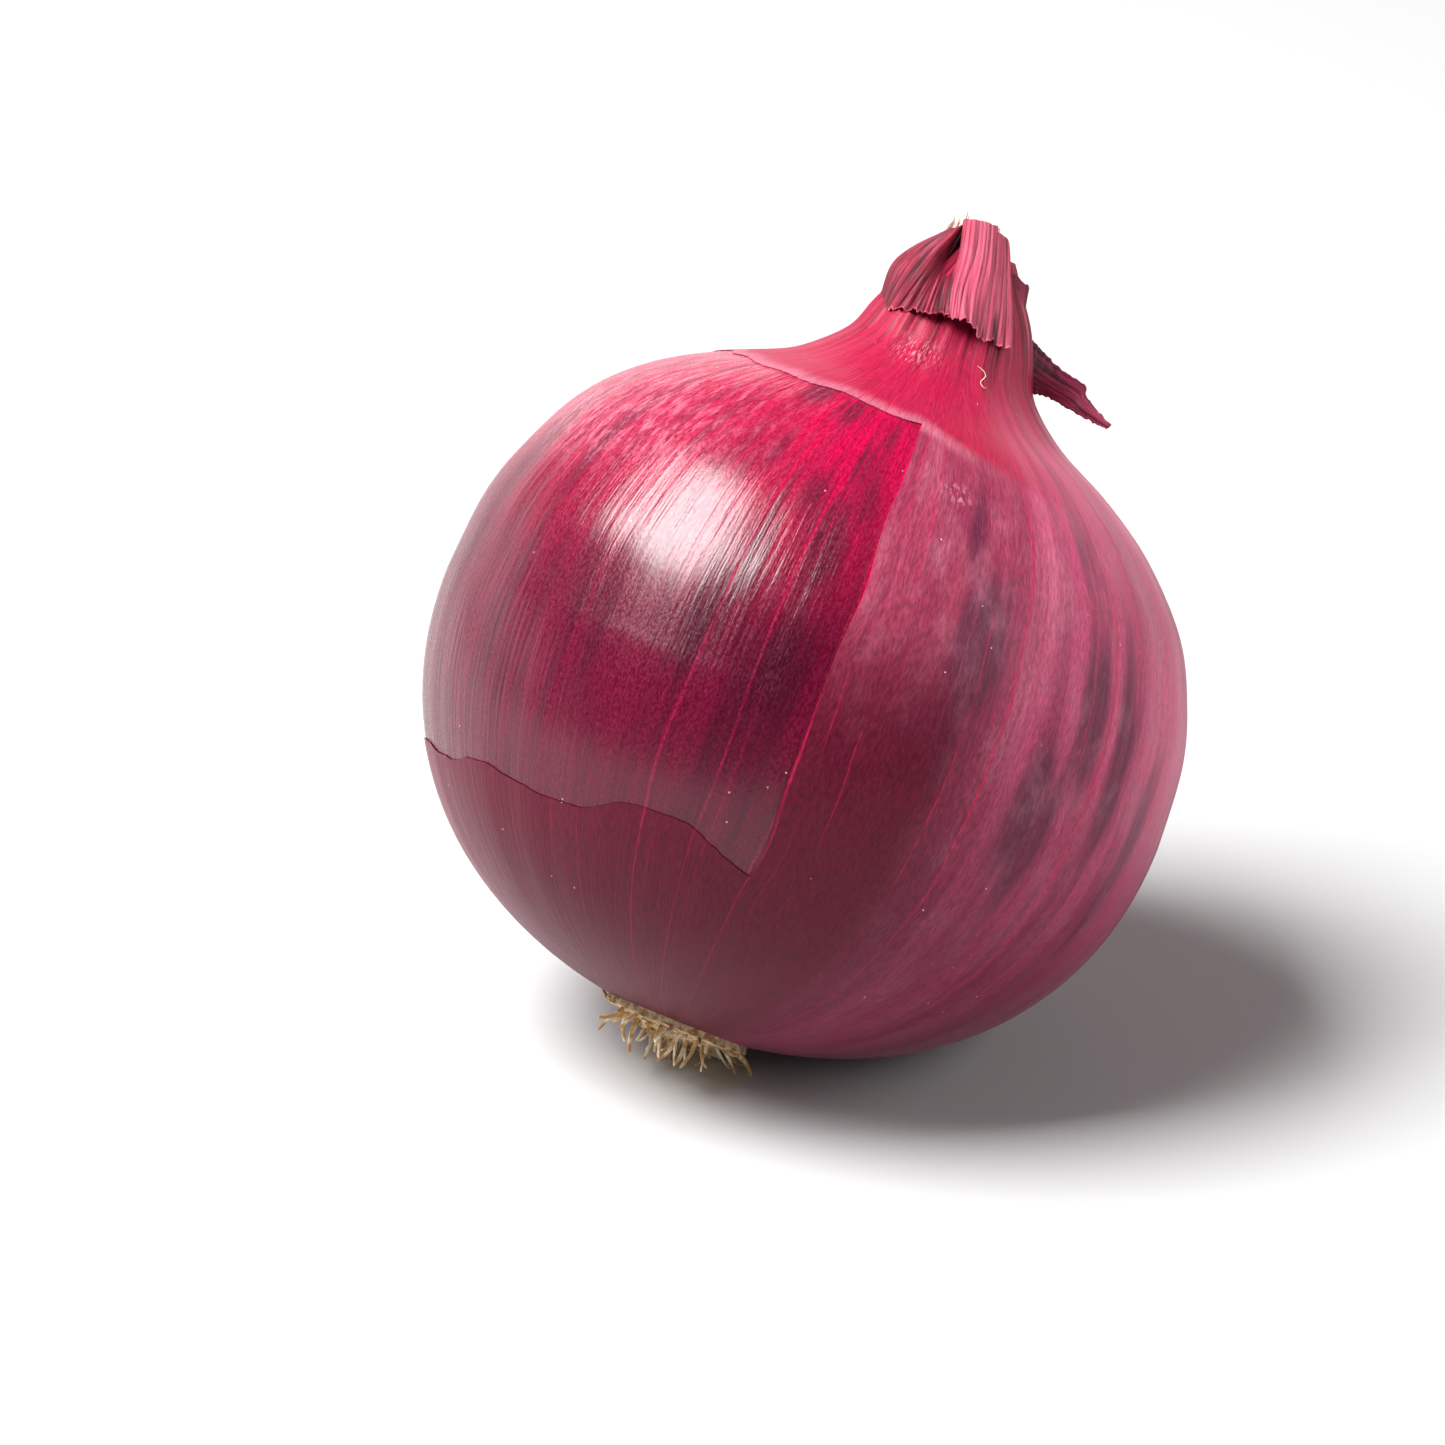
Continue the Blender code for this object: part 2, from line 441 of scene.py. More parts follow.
def attribute(tree, name, output="Fac"):
    """A value that every point of the piece carries."""
    return node(tree, "ShaderNodeAttribute", attribute_name=name).outputs[output]


def noise_at(tree, way, scale, detail, roughness=0.5):
    made = node(
        tree,
        "ShaderNodeTexNoise",
        {"Vector": way, "Scale": scale, "Detail": detail, "Roughness": roughness},
        noise_dimensions="3D",
    )
    return made.outputs["Fac"]


def object_noise(tree, scale, detail, roughness=0.5):
    """Noise that stays in place on an object, with its scale per metre."""
    where = node(tree, "ShaderNodeTexCoord").outputs["Object"]
    return noise_at(tree, where, scale, detail, roughness)


def scattered(tree, where, scale):
    """The distance to the nearest of many scattered points."""
    made = node(
        tree,
        "ShaderNodeTexVoronoi",
        {"Vector": where, "Scale": scale, "Randomness": 1.0},
        voronoi_dimensions="3D",
        feature="F1",
    )
    return made.outputs["Distance"]


def ring_noise(tree, ring, width_mm, length_mm, detail=2.0, shift=0.0):
    """Noise stretched along the onion, so wide round it and so long along it."""
    across = shape().widest_radius / MM / width_mm
    along = shape().widest_radius / MM / length_mm
    way = node(
        tree,
        "ShaderNodeVectorMath",
        {0: ring, 1: (across, across, along), 2: (shift, shift * 0.7, shift * 1.3)},
        operation="MULTIPLY_ADD",
    )
    return noise_at(tree, way.outputs[0], 1.0, detail, 0.55)


def band(tree, value, low, high, to_low=0.0, to_high=1.0):
    """A smooth step of a value from low to high."""
    made = node(
        tree,
        "ShaderNodeMapRange",
        {0: value, 1: low, 2: high, 3: to_low, 4: to_high},
        interpolation_type="SMOOTHSTEP",
    )
    return made.outputs[0]


def arithmetic(tree, operation, first, second=0.0, third=0.0):
    made = node(tree, "ShaderNodeMath", {0: first, 1: second, 2: third}, operation=operation)
    return made.outputs[0]


def times(tree, first, second):
    return arithmetic(tree, "MULTIPLY", first, second)


def blended(tree, factor, first, second, blend_type="MIX"):
    """A mix of two colours, each a hex colour, a linear one or a socket."""
    first, second = [linear(c) if isinstance(c, str) else c for c in (first, second)]
    made = node(
        tree,
        "ShaderNodeMix",
        {0: factor, 6: first, 7: second},
        data_type="RGBA",
        blend_type=blend_type,
    )
    return made.outputs[2]


def onion_angle(tree, ring):
    """The angle from the front, with a slow waver along the onion."""
    split = node(tree, "ShaderNodeSeparateXYZ", {0: ring})
    front = times(tree, split.outputs[1], -1.0)
    angle = arithmetic(tree, "ARCTAN2", split.outputs[0], front)
    waver = noise_at(tree, ring, 2.2, 1.0)
    shifted = arithmetic(tree, "MULTIPLY_ADD", waver, 0.05, -0.025)
    return arithmetic(tree, "ADD", angle, shifted), split.outputs[2]


def within(tree, angle, left, right, soft):
    """1 between two angles in degrees and 0 outside them, with soft ends."""
    middle, half = (left + right) / 2, (right - left) / 2
    away = arithmetic(tree, "SUBTRACT", angle, math.radians(middle))
    away = arithmetic(tree, "ABSOLUTE", arithmetic(tree, "WRAP", away, math.pi, -math.pi))
    return band(tree, away, math.radians(half + soft), math.radians(half - soft))


def vein_mask(tree, angle, ring, half_width):
    """Lines along the onion: the main veins, and finer ones at uneven distances."""
    mask = None
    for degrees in MAIN_VEINS:
        away = arithmetic(tree, "SUBTRACT", angle, math.radians(degrees))
        away = arithmetic(tree, "ABSOLUTE", away)
        line = band(tree, away, half_width * 0.3, half_width, 1.0, 0.0)
        mask = line if mask is None else arithmetic(tree, "MAXIMUM", mask, line)
    cells = node(
        tree,
        "ShaderNodeTexVoronoi",
        {"W": angle, "Scale": 7.0, "Randomness": 1.0},
        voronoi_dimensions="1D",
        feature="F1",
    )
    fine = band(tree, cells.outputs["Distance"], 0.0, half_width * 5, 0.7, 0.0)
    broken = band(tree, ring_noise(tree, ring, 6.0, 16.0, 1.0, 4.0), 0.42, 0.62)
    fine = times(tree, fine, broken)
    worn = band(tree, ring_noise(tree, ring, 3.0, 7.0, 2.0, 9.0), 0.3, 0.6, 0.45, 1.0)
    return times(tree, arithmetic(tree, "MAXIMUM", mask, fine), worn)


def dusted(tree, ring, base):
    """The same colour with a few pale specks of dust."""
    dust = band(tree, scattered(tree, ring, 11.0), 0.015, 0.035, 0.6, 0.0)
    return blended(tree, dust, base, "#F2D8DC")


def bump(tree, height, distance, strength, normal=None):
    inputs = {"Height": height, "Distance": distance, "Strength": strength}
    if normal is not None:
        inputs["Normal"] = normal
    return node(tree, "ShaderNodeBump", inputs).outputs[0]


def grain_colour(tree, value):
    return node(tree, "ShaderNodeCombineXYZ", {0: value, 1: value, 2: value}).outputs[0]


def glossy_skin():
    """Fresh onion scale: a taut, waxy film of cells over wet flesh. It is glossy, and its fine
    cell relief breaks the highlight into grains."""
    material, tree = new_material("fresh_waxy_scale")
    ring = attribute(tree, "ring", "Vector")
    angle, height = onion_angle(tree, ring)
    blotches = ring_noise(tree, ring, 2.3, 13.0, 4.0)
    stripes = ring_noise(tree, ring, 1.5, 26.0, 2.0, 5.0)
    threads = ring_noise(tree, ring, 0.6, 9.0, 2.0, 2.0)
    cells = ring_noise(tree, ring, 0.2, 0.42, 2.0, 8.0)
    stain = attribute(tree, "stain")
    uneven = times(tree, cells, 0.62)
    for pattern, share in ((blotches, 0.7), (stripes, 0.5), (threads, 0.3), (stain, 0.42)):
        uneven = arithmetic(tree, "MULTIPLY_ADD", pattern, share, uneven)
    patches = band(tree, uneven, 0.90, 1.42, 0.0, 0.95)
    # Painted shade: the clear skin and its dusky patches are both darkened towards the bottom.
    low = band(tree, height, 0.78, 0.02)
    clear = blended(tree, low, tuple(colours().crimson), "#5E0426")
    dusky = blended(tree, low, "#66142F", tuple(colours().wine))
    base = blended(tree, patches, clear, dusky)
    dotted = band(tree, scattered(tree, ring, 72.0), 0.16, 0.34, 0.75, 0.0)
    left = within(tree, angle, -110, -24, 10)
    raised = band(tree, height, 0.30, 0.52)
    dotted = times(tree, dotted, times(tree, left, raised))
    base = blended(tree, dotted, base, "#5A0E2C")
    # Painted reflection: a pale pink haze over the upper left, where the bright surroundings glance
    # off the skin.
    painted_reflection_zone = times(tree, within(tree, angle, -150, -34, 24), raised)
    painted_reflection_haze = band(tree, ring_noise(tree, ring, 0.8, 1.6, 4.0, 27.0), 0.42, 0.68, 0.06, 0.42)
    base = blended(tree, times(tree, painted_reflection_zone, painted_reflection_haze), base, "#E0869C")
    veins = vein_mask(tree, angle, ring, 0.0058)
    # The veins also take painted shade, darker towards the bottom.
    vein_colour = blended(tree, low, "#C00440", "#7A0A30")
    base = blended(tree, veins, base, vein_colour)
    grain = band(tree, cells, 0.28, 0.72, 0.60, 1.40)
    base = blended(tree, 1.0, base, grain_colour(tree, grain), "MULTIPLY")
    base = dusted(tree, ring, base)
    threads_bump = bump(tree, threads, 0.2 * MM, 0.45)
    cells_bump = bump(tree, cells, 0.04 * MM, 0.5, threads_bump)
    close_material(
        tree,
        {
            "Base Color": base,
            "Roughness": band(tree, cells, 0.3, 0.7, 0.20, 0.32),
            "IOR": 1.45,
            "Specular IOR Level": 0.5,
            "Normal": cells_bump,
        },
    )
    return material


def papery_skin():
    """Dry outer onion scale: thin, translucent and fibrous. It hazes the colour under it, with
    dark stains and bright veins along its fibres."""
    material, tree = new_material("dry_papery_scale")
    ring = attribute(tree, "ring", "Vector")
    stain = attribute(tree, "stain")
    angle, height = onion_angle(tree, ring)
    stripes = band(tree, ring_noise(tree, ring, 3.2, 46.0, 3.0, 11.0), 0.42, 0.62)
    threads = ring_noise(tree, ring, 0.5, 16.0, 2.0, 3.0)
    ragged = ring_noise(tree, ring, 2.2, 14.0, 3.0, 6.0)
    cells = ring_noise(tree, ring, 0.22, 0.8, 2.0, 8.0)
    rough_edge = arithmetic(tree, "MULTIPLY_ADD", ragged, 1.1, stain)
    rough_edge = arithmetic(tree, "MULTIPLY_ADD", cells, 0.3, rough_edge)
    stained = band(tree, rough_edge, 0.95, 1.50)
    around = arithmetic(tree, "SUBTRACT", 1.0, within(tree, angle, -140, 29, 11))
    rose = blended(tree, around, tuple(colours().rose), "#B8456A")
    base = blended(tree, times(tree, stripes, 0.6), rose, "#7A2240")
    base = blended(tree, times(tree, stained, 0.8), base, tuple(colours().plum))
    light = band(tree, threads, 0.46, 0.72, 0.0, 0.28)
    base = blended(tree, light, base, "#A84662")
    bloom = attribute(tree, "bloom")
    bloom = times(tree, bloom, band(tree, threads, 0.3, 0.6, 0.5, 1.0))
    base = blended(tree, bloom, base, "#CC6C88")
    haze = band(tree, ring_noise(tree, ring, 3.0, 5.0, 6.0, 15.0), 0.42, 0.76, 0.0, 0.26)
    base = blended(tree, haze, base, "#B8788A")
    # Painted shade: the papery skin is darkened towards the bottom.
    low = band(tree, height, 0.35, -0.55)
    base = blended(tree, times(tree, low, 0.7), base, "#4A1028")
    above = attribute(tree, "above")
    saturated = band(tree, above, -0.4, 1.2, 0.0, 0.85)
    saturated = times(tree, saturated, within(tree, angle, -130, 38, 20))
    crown = band(tree, height, 0.72, 0.98, 0.0, 0.7)
    saturated = arithmetic(tree, "MAXIMUM", saturated, crown)
    base = blended(tree, saturated, base, "#A00A36")
    # Painted shade: the front below the middle is darkened to a deep wine.
    painted_front_shade = band(tree, height, 0.40, -0.05, 0.0, 0.85)
    painted_front_shade = times(tree, painted_front_shade, within(tree, angle, -124, 24, 5))
    base = blended(tree, painted_front_shade, base, "#560620")
    away = arithmetic(tree, "ABSOLUTE", above)
    ledge = band(tree, away, 0.0, 1.0, 0.32, 0.0)
    ledge = times(tree, ledge, within(tree, angle, -118, 14, 10))
    base = blended(tree, ledge, base, "#D8869A")
    neck = band(tree, height, 0.84, 1.06)
    # Painted shade: dark streaks in the wrinkles of the neck under the collar.
    painted_fold_shade = band(tree, ring_noise(tree, ring, 1.8, 22.0, 2.0, 21.0), 0.56, 0.38, 0.05, 0.8)
    painted_fold_shade = times(tree, neck, painted_fold_shade)
    dry = within(tree, angle, 20, 200, 20)
    base = blended(tree, times(tree, neck, dry), base, "#B42A4C")
    base = blended(tree, painted_fold_shade, base, "#520A20")
    flecks = band(tree, ring_noise(tree, ring, 0.5, 0.6, 3.0, 17.0), 0.50, 0.62)
    scuffs = attribute(tree, "scuff")
    base = blended(tree, times(tree, scuffs, flecks), base, "#E8B4BE")
    veins = vein_mask(tree, angle, ring, 0.0055)
    fade = band(tree, height, -0.6, 0.1, 0.2, 0.9)
    base = blended(tree, times(tree, veins, fade), base, "#BE1A46")
    grain = band(tree, cells, 0.28, 0.72, 0.74, 1.26)
    base = blended(tree, 1.0, base, grain_colour(tree, grain), "MULTIPLY")
    base = dusted(tree, ring, base)
    threads_bump = bump(tree, threads, 0.1 * MM, 0.45)
    cells_bump = bump(tree, cells, 0.04 * MM, 0.5, threads_bump)
    close_material(
        tree,
        {
            "Base Color": base,
            "Roughness": band(tree, cells, 0.3, 0.7, 0.38, 0.48),
            "IOR": 1.45,
            "Specular IOR Level": 0.2,
            "Sheen Weight": 0.15,
            "Sheen Roughness": 0.3,
            "Sheen Tint": linear("#FFC0CE"),
            "Normal": cells_bump,
        },
    )
    return material


def dry_leaf(name, light, dark, groove, worn):
    """Withered leaf base: dead, pleated fibre with a dull surface, with painted shade in its
    grooves and paler where it is worn."""
    material, tree = new_material(name)
    leaf = attribute(tree, "leaf", "Vector")
    tint = attribute(tree, "tint")
    grooves = node(tree, "ShaderNodeSeparateXYZ", {0: leaf}).outputs[2]
    threads = leaf_noise(tree, leaf, 0.22, 5.0, 3.0)
    patches = leaf_noise(tree, leaf, 1.6, 6.0, 2.0)
    base = blended(tree, band(tree, patches, 0.35, 0.65), dark, light)
    pale = band(tree, threads, 0.48, 0.75, 0.0, 0.45)
    pale = arithmetic(tree, "MULTIPLY_ADD", tint, 0.6, pale)
    base = blended(tree, pale, base, worn)
    # Dark fibre lines, and painted shade in the grooves between the pleats.
    lines = band(tree, threads, 0.44, 0.30, 0.0, 0.6)
    lines = arithmetic(tree, "MAXIMUM", lines, band(tree, grooves, 0.0, 0.9, 0.0, 0.9))
    base = blended(tree, lines, base, groove)
    close_material(
        tree,
        {
            "Base Color": base,
            "Roughness": 0.5,
            "IOR": 1.45,
            "Specular IOR Level": 0.2,
            "Sheen Weight": 0.05,
            "Sheen Roughness": 0.5,
            "Normal": bump(tree, threads, 0.12 * MM, 0.7),
        },
    )
    return material


def leaf_noise(tree, leaf, width_mm, length_mm, detail):
    """Noise stretched along a leaf."""
    way = node(
        tree,
        "ShaderNodeVectorMath",
        {0: leaf, 1: (1 / width_mm, 1 / length_mm, 0.0)},
        operation="MULTIPLY",
    )
    return noise_at(tree, way.outputs[0], 1.0, detail, 0.6)


def cork_material():
    """Root plate: dry corky tissue, rough and tan, with crumbs of darker skin."""
    material, tree = new_material("dry_corky_plate")
    crumbs = object_noise(tree, 1 / (0.9 * MM), 5.0, 0.65)
    base = blended(tree, band(tree, crumbs, 0.38, 0.62), "#9A6A3C", "#E6CFA6")
    close_material(
        tree,
        {
            "Base Color": base,
            "Roughness": 0.85,
            "Normal": bump(tree, crumbs, 0.3 * MM, 0.8),
        },
    )
    return material


def root_material():
    """Clipped root: a dried white thread gone straw brown towards its tip."""
    material, tree = new_material("dried_root_thread")
    patches = object_noise(tree, 1 / (1.6 * MM), 3.0)
    base = blended(tree, band(tree, patches, 0.4, 0.62), "#B48A55", "#EBDDBE")
    close_material(
        tree,
        {
            "Base Color": base,
            "Roughness": 0.75,
            "Normal": bump(tree, patches, 0.1 * MM, 0.6),
        },
    )
    return material


def floor_material():
    """Matte white paint."""
    material, tree = new_material("matte_white_paint")
    mottle = object_noise(tree, 3.0, 1.0)
    base = blended(tree, mottle, "#BCBCBC", "#C0C0C0")
    close_material(tree, {"Base Color": base, "Roughness": 0.9, "Specular IOR Level": 0.1})
    return material


# ---------------------------------------------------------------------------------------------
# Pieces


def in_tear(angle, height):
    return TEAR_LEFT < angle < TEAR_RIGHT and TEAR_BOTTOM < height < TEAR_TOP


# Dark stains: angle in degrees, height in mm, half width in degrees, half height in mm, strength
STAINS = (
    (18.0, 22.0, 3.5, 6.0, 0.75),
    (22.0, 11.0, 5.5, 9.0, 1.0),
    (19.0, 1.0, 8.0, 9.0, 0.8),
    (8.0, -4.0, 9.0, 12.0, 0.7),
    (46.0, 9.0, 4.5, 9.0, 1.0),
    (40.0, -2.0, 5.0, 9.0, 1.0),
    (55.0, 8.0, 4.0, 15.0, 0.8),
    (66.0, -2.0, 4.0, 16.0, 0.8),
    (44.0, 24.0, 4.0, 6.0, 0.5),
    (95.0, 0.0, 9.0, 18.0, 0.7),
    (128.0, 6.0, 7.0, 16.0, 0.8),
    (160.0, -6.0, 8.0, 18.0, 0.7),
    (-165.0, 4.0, 7.0, 16.0, 0.8),
    (-132.0, -4.0, 6.0, 15.0, 0.7),
)


# Dusky mottles of the glossy skin, given in the same way
MOTTLES = (
    (-12.5, 19.6, 2.2, 3.0, 0.9),
    (-8.0, 17.0, 2.2, 4.0, 0.9),
    (-5.5, 14.3, 3.0, 4.0, 1.0),
    (-7.2, 24.0, 1.6, 2.6, 0.8),
    (-2.4, 20.4, 1.4, 3.0, 0.7),
    (-16.4, 13.0, 1.8, 6.0, 0.9),
    (-22.0, 22.4, 2.0, 2.6, 0.6),
    (-16.3, 28.4, 2.6, 1.3, 0.9),
    (-27.0, 29.0, 3.4, 1.2, 0.7),
    (-4.4, 27.3, 0.9, 1.2, 0.6),
    (-30.0, 14.0, 1.4, 6.0, 0.7),
    (-20.0, 4.0, 3.0, 6.0, 0.6),
    (-6.0, 3.0, 4.0, 6.0, 0.7),
    (-38.0, 24.0, 3.0, 4.0, 0.4),
    (-54.0, 20.0, 3.0, 7.0, 0.6),
    (-72.0, 14.0, 4.0, 9.0, 0.6),
    (-92.0, 8.0, 4.0, 9.0, 0.6),
)
# Rosier bands of the papery skin, given in the same way
BLOOMS = (
    (34.0, 20.0, 4.0, 7.0, 0.55),
    (31.5, 8.0, 2.2, 8.0, 0.45),
    (64.0, 18.0, 4.0, 11.0, 0.55),
    (78.0, 8.0, 3.0, 15.0, 0.4),
    (118.0, 12.0, 4.0, 12.0, 0.4),
    (-172.0, 14.0, 5.0, 12.0, 0.4),
)
# Pale scuffed places, given in the same way
SCUFFS = (
    (-15.0, 36.8, 12.0, 1.3, 0.45),
    (13.0, 24.6, 2.6, 0.9, 0.35),
    (37.0, 5.0, 0.5, 0.3, 0.9),
    (100.0, 14.0, 3.0, 1.5, 0.5),
    (-150.0, 20.0, 3.0, 1.0, 0.5),
)


def spots_at(spots, angle, height):
    total = 0.0
    for middle, level, wide, tall, strength in spots:
        away = (math.degrees(angle) - middle + 180) % 360 - 180
        spot = math.exp(-((away / wide) ** 2)) * math.exp(-(((height / MM - level) / tall) ** 2))
        total = max(total, strength * spot)
    return total


def make_bulb():
    """The fleshy bulb with its tight skin, closed at its tip and at its root plate."""
    tip = [Vector((radius, height)) * MM for height, radius in CORE_TIP]
    flesh = inset(skin_outline(), shape().skin_thickness)
    below = [p for p in flesh if p.y < CORE_FOOT]
    plate = Vector((0, below[-1].y + PLATE_SUNK))
    line = evenly([*tip, *below, plate], BULB_SPACING)
    line[0].x = 0
    line[-1].x = 0
    bm = turned(line, BULB_COLUMNS, 0.0)
    mark_ring(bm)
    stain = bm.verts.layers.float.new("stain")
    lean = lean_matrix()
    for vert in bm.verts:
        radius = vert.co.xy.length
        if radius > 1e-6:
            angle = math.atan2(vert.co.x, -vert.co.y)
            vert[stain] = spots_at(MOTTLES, angle, vert.co.z)
            wide = radius + relief(angle, vert.co.z) * min(radius / (8 * MM), 1)
            vert.co = on_ring(angle, wide, vert.co.z)
        vert.co = rest_on_floor(lean @ vert.co, BULB_CLEARANCE)
    return finish_piece(bm, "onion_bulb", glossy_skin(), ["bulb"])


def tear_shift(angle, height):
    """How far the skin's torn edge wanders from its straight line, round and along."""
    turn, up = math.degrees(angle), height / MM
    beside = math.exp(-(((turn - math.degrees(TEAR_RIGHT)) / 6) ** 2))
    beside *= ease(up, -21, -15) * (1 - ease(up, 30, 33))
    around = beside * math.radians(1.0) * noise.noise(Vector((up / 8, 2.0, 0)))
    around += beside * math.radians(0.8) * (1 - ease(up, -17, -6))
    across = ease(turn, -120, -110) * (1 - ease(turn, 2, 9))
    above = math.exp(-(((height - TEAR_TOP) / (2.2 * MM)) ** 2)) * across
    behind = 0.5 + 2.2 * ease(-turn, 48, 85)
    along = above * behind * noise.noise(Vector((angle * 4, 5.0, 0)))
    along += above * 0.12 * noise.noise(Vector((angle * 30, 1.0, 0)))
    below = math.exp(-(((height - TEAR_BOTTOM) / (6.5 * MM)) ** 2)) * across
    along += below * 4.2 * noise.noise(Vector((angle * 1.9, 8.0, 0)))
    along += below * 0.35 * noise.noise(Vector((angle * 9, 3.0, 0)))
    along += below * 0.12 * noise.noise(Vector((angle * 40, 6.0, 0)))
    return around, along * MM


def make_outer_skin():
    """The papery skin, from a little under its outside, with the tear cut out of it."""
    line = evenly(skin_outline(), SKIN_SPACING)
    bm = turned(line, SKIN_COLUMNS, TEAR_RIGHT)
    face_outwards(bm)
    gone = []
    for face in bm.faces:
        middle = face.calc_center_median()
        if in_tear(math.atan2(middle.x, -middle.y), middle.z):
            gone.append(face)
    bmesh.ops.delete(bm, geom=gone, context="FACES")
    mark_ring(bm)
    layers = bm.verts.layers.float
    stain, scuff, bloom, above = [layers.new(n) for n in ("stain", "scuff", "bloom", "above")]
    lean = lean_matrix()
    thickness = shape().skin_thickness
    for vert in bm.verts:
        radius, height = vert.co.xy.length, vert.co.z
        angle = math.atan2(vert.co.x, -vert.co.y)
        around, along = tear_shift(angle, height)
        vert[stain] = spots_at(STAINS, angle, height)
        vert[scuff] = spots_at(SCUFFS, angle, height)
        vert[bloom] = spots_at(BLOOMS, angle, height)
        vert[above] = (height - TEAR_TOP) / MM + LEDGE_FALL * max(angle, 0.0)
        if abs(along) > 1e-6:
            height += along
            radius = radius_at(line, height)
        wide = radius + relief(angle, height) + SKIN_GAP
        vert.co = on_ring(angle + around, wide, height)
        vert.co = rest_on_floor(lean @ vert.co, thickness / 2)
    bm.normal_update()
    bmesh.ops.solidify(bm, geom=bm.faces[:], thickness=-thickness)
    return finish_piece(bm, "papery_skin", papery_skin(), ["outer_skin"])


# The collar's cross sections from its hem to its top: right, out to the front and up, in mm
COLLAR_SECTIONS = (
    ((-7.7, 2.6, 39.6), (-6.3, 6.1, 39.7), (-3.4, 8.6, 40.4), (-1.3, 9.0, 40.8),
     (-1.0, 9.6, 40.8), (2.2, 9.4, 41.1), (6.0, 6.9, 41.0)),
    ((-8.0, 1.6, 43.7), (-5.3, 6.5, 43.7), (-3.4, 6.3, 43.8), (-2.0, 6.6, 44.0),
     (-1.7, 7.6, 44.0), (1.4, 7.6, 44.0), (4.9, 5.3, 43.8)),
    ((-6.6, 1.2, 46.4), (-4.4, 4.6, 47.0), (-3.1, 2.2, 47.2), (-2.1, 2.0, 47.3),
     (-2.0, 4.1, 47.3), (0.7, 4.6, 47.4), (3.4, 2.9, 47.2)),
    ((-4.1, 1.0, 49.0), (-3.1, 2.5, 50.0), (-2.9, 1.7, 50.2), (-2.85, 2.0, 50.3),
     (-2.8, 2.7, 50.9), (-0.4, 3.1, 51.3), (2.0, 1.9, 51.0)),
)
COLLAR_STATIONS = (0.0, 0.2, 0.38, 0.52, 0.55, 0.78, 1.0)


def between(points, stations, share):
    """A point on a smooth curve through points at given shares of its way."""
    last = len(points) - 1
    index = max(i for i in range(last) if stations[i] <= share or i == 0)
    span = stations[index + 1] - stations[index]
    before = points[max(index - 1, 0)]
    after = points[min(index + 2, last)]
    t = (share - stations[index]) / span
    return curve_point(before, points[index], points[index + 1], after, t)


def thicken(bm, thickness):
    """Gives an open sheet a thickness, with walls round its edges."""
    bm.normal_update()
    made = bmesh.ops.extrude_face_region(bm, geom=bm.faces[:], use_keep_orig=True)["geom"]
    for element in made:
        if isinstance(element, bmesh.types.BMVert):
            element.co += element.normal * thickness
    bmesh.ops.recalc_face_normals(bm, faces=bm.faces)


def leaf_sheet(name, columns, rows, place, material, replaces=()):
    """A dry leaf remain: a grid placed by a function of its two shares, given a thickness."""
    bm = bmesh.new()
    bmesh.ops.create_grid(bm, x_segments=columns, y_segments=rows, size=0.5)
    leaf = bm.verts.layers.float_vector.new("leaf")
    tint = bm.verts.layers.float.new("tint")
    for vert in bm.verts:
        across, up = vert.co.x + 0.5, vert.co.y + 0.5
        vert.co, vert[leaf], vert[tint] = place(across, up)
    bmesh.ops.transform(bm, matrix=lean_matrix(), verts=bm.verts)
    thicken(bm, shape().leaf_thickness)
    return finish_piece(bm, name, material, replaces)


def pleats(share, along, seed, count):
    """Rounded ridges with narrow grooves between them, uneven across a leaf."""
    wander = share + 0.012 * noise.noise(Vector((along * 2, seed, 0)))
    broad = noise.noise(Vector((wander * count, along * 0.4, seed)))
    fine = noise.noise(Vector((wander * count * 2.3, along * 0.7, seed + 4)))
    return 2.2 * math.hypot(broad, 0.03) + 0.9 * math.hypot(fine, 0.03) - 0.75


# The grooves it marks are darkened as painted shade.
def groove_of(fold, width=0.45):
    """1 at the bottom of a groove between two pleats, 0 beside it."""
    return max(0.0, 1 - (fold + 0.7) / width)


def make_collar():
    """The pleated remnant round the front of the neck, folded in left of its middle."""
    shares = (0.0, 0.36, 0.7, 1.0)

    def place(across, up):
        curves = []
        for section in COLLAR_SECTIONS:
            points = [Vector((x, -y, z)) * MM for x, y, z in section]
            curves.append(between(points, COLLAR_STATIONS, across))
        point = between(curves, shares, up)
        out = Vector((point.x, point.y - 1 * MM, 0)).normalized()
        fold = pleats(across, up, 3.0, 17)
        point += out * (MM * 0.3 * (1 - 0.4 * up) * ease(across, 0.04, 0.2) * fold)
        torn = noise.noise(Vector((across * 14, 3.3, 0))) * 0.5
        torn += noise.noise(Vector((across * 45, 7.3, 0))) * 0.35
        torn += noise.noise(Vector((across * 110, 9.3, 0))) * 0.2
        torn -= 1.0 * ease(across, 0.765, 0.80)
        point.z += MM * torn * (1 - up) ** 5 * ease(across, 0.05, 0.2)
        curl = noise.noise(Vector((across * 30, 11.0, 0))) + 0.35
        point += out * (0.3 * MM * curl * (1 - up) ** 22 * ease(across, 0.1, 0.25))
        ends = noise.noise(Vector((across * 9, 1.3, 0))) * 0.35
        ends -= 0.65 * ease(across, 0.84, 0.85) + 0.5 * ease(across, 0.93, 1.0) ** 2
        point.z += MM * ends * up ** 8
        hem = max(0.0, 1 - up / 0.03)
        # Painted shade: the grooves between the pleats, and the hollow beside the crease left of
        # the middle, are darkened in the leaf's colour.
        groove = groove_of(fold, 0.32)
        crease_shade = ease(across, 0.34, 0.5) * (1 - ease(across, 0.515, 0.545)) * ease(up, 0.15, 0.6)
        groove = max(groove, 0.8 * crease_shade)
        tint = ease(across, 0.5, 0.6) * 0.75 + hem
        return point, Vector((across * 15, up * 10.5, groove)), tint

    # The third colour is the painted shade in the grooves between the pleats.
    material = dry_leaf("withered_crimson_leaf", "#84162F", "#560C20", "#2C0610", "#D4607A")
    return leaf_sheet("pleated_collar", 300, 110, place, material, ["neck_collar"])


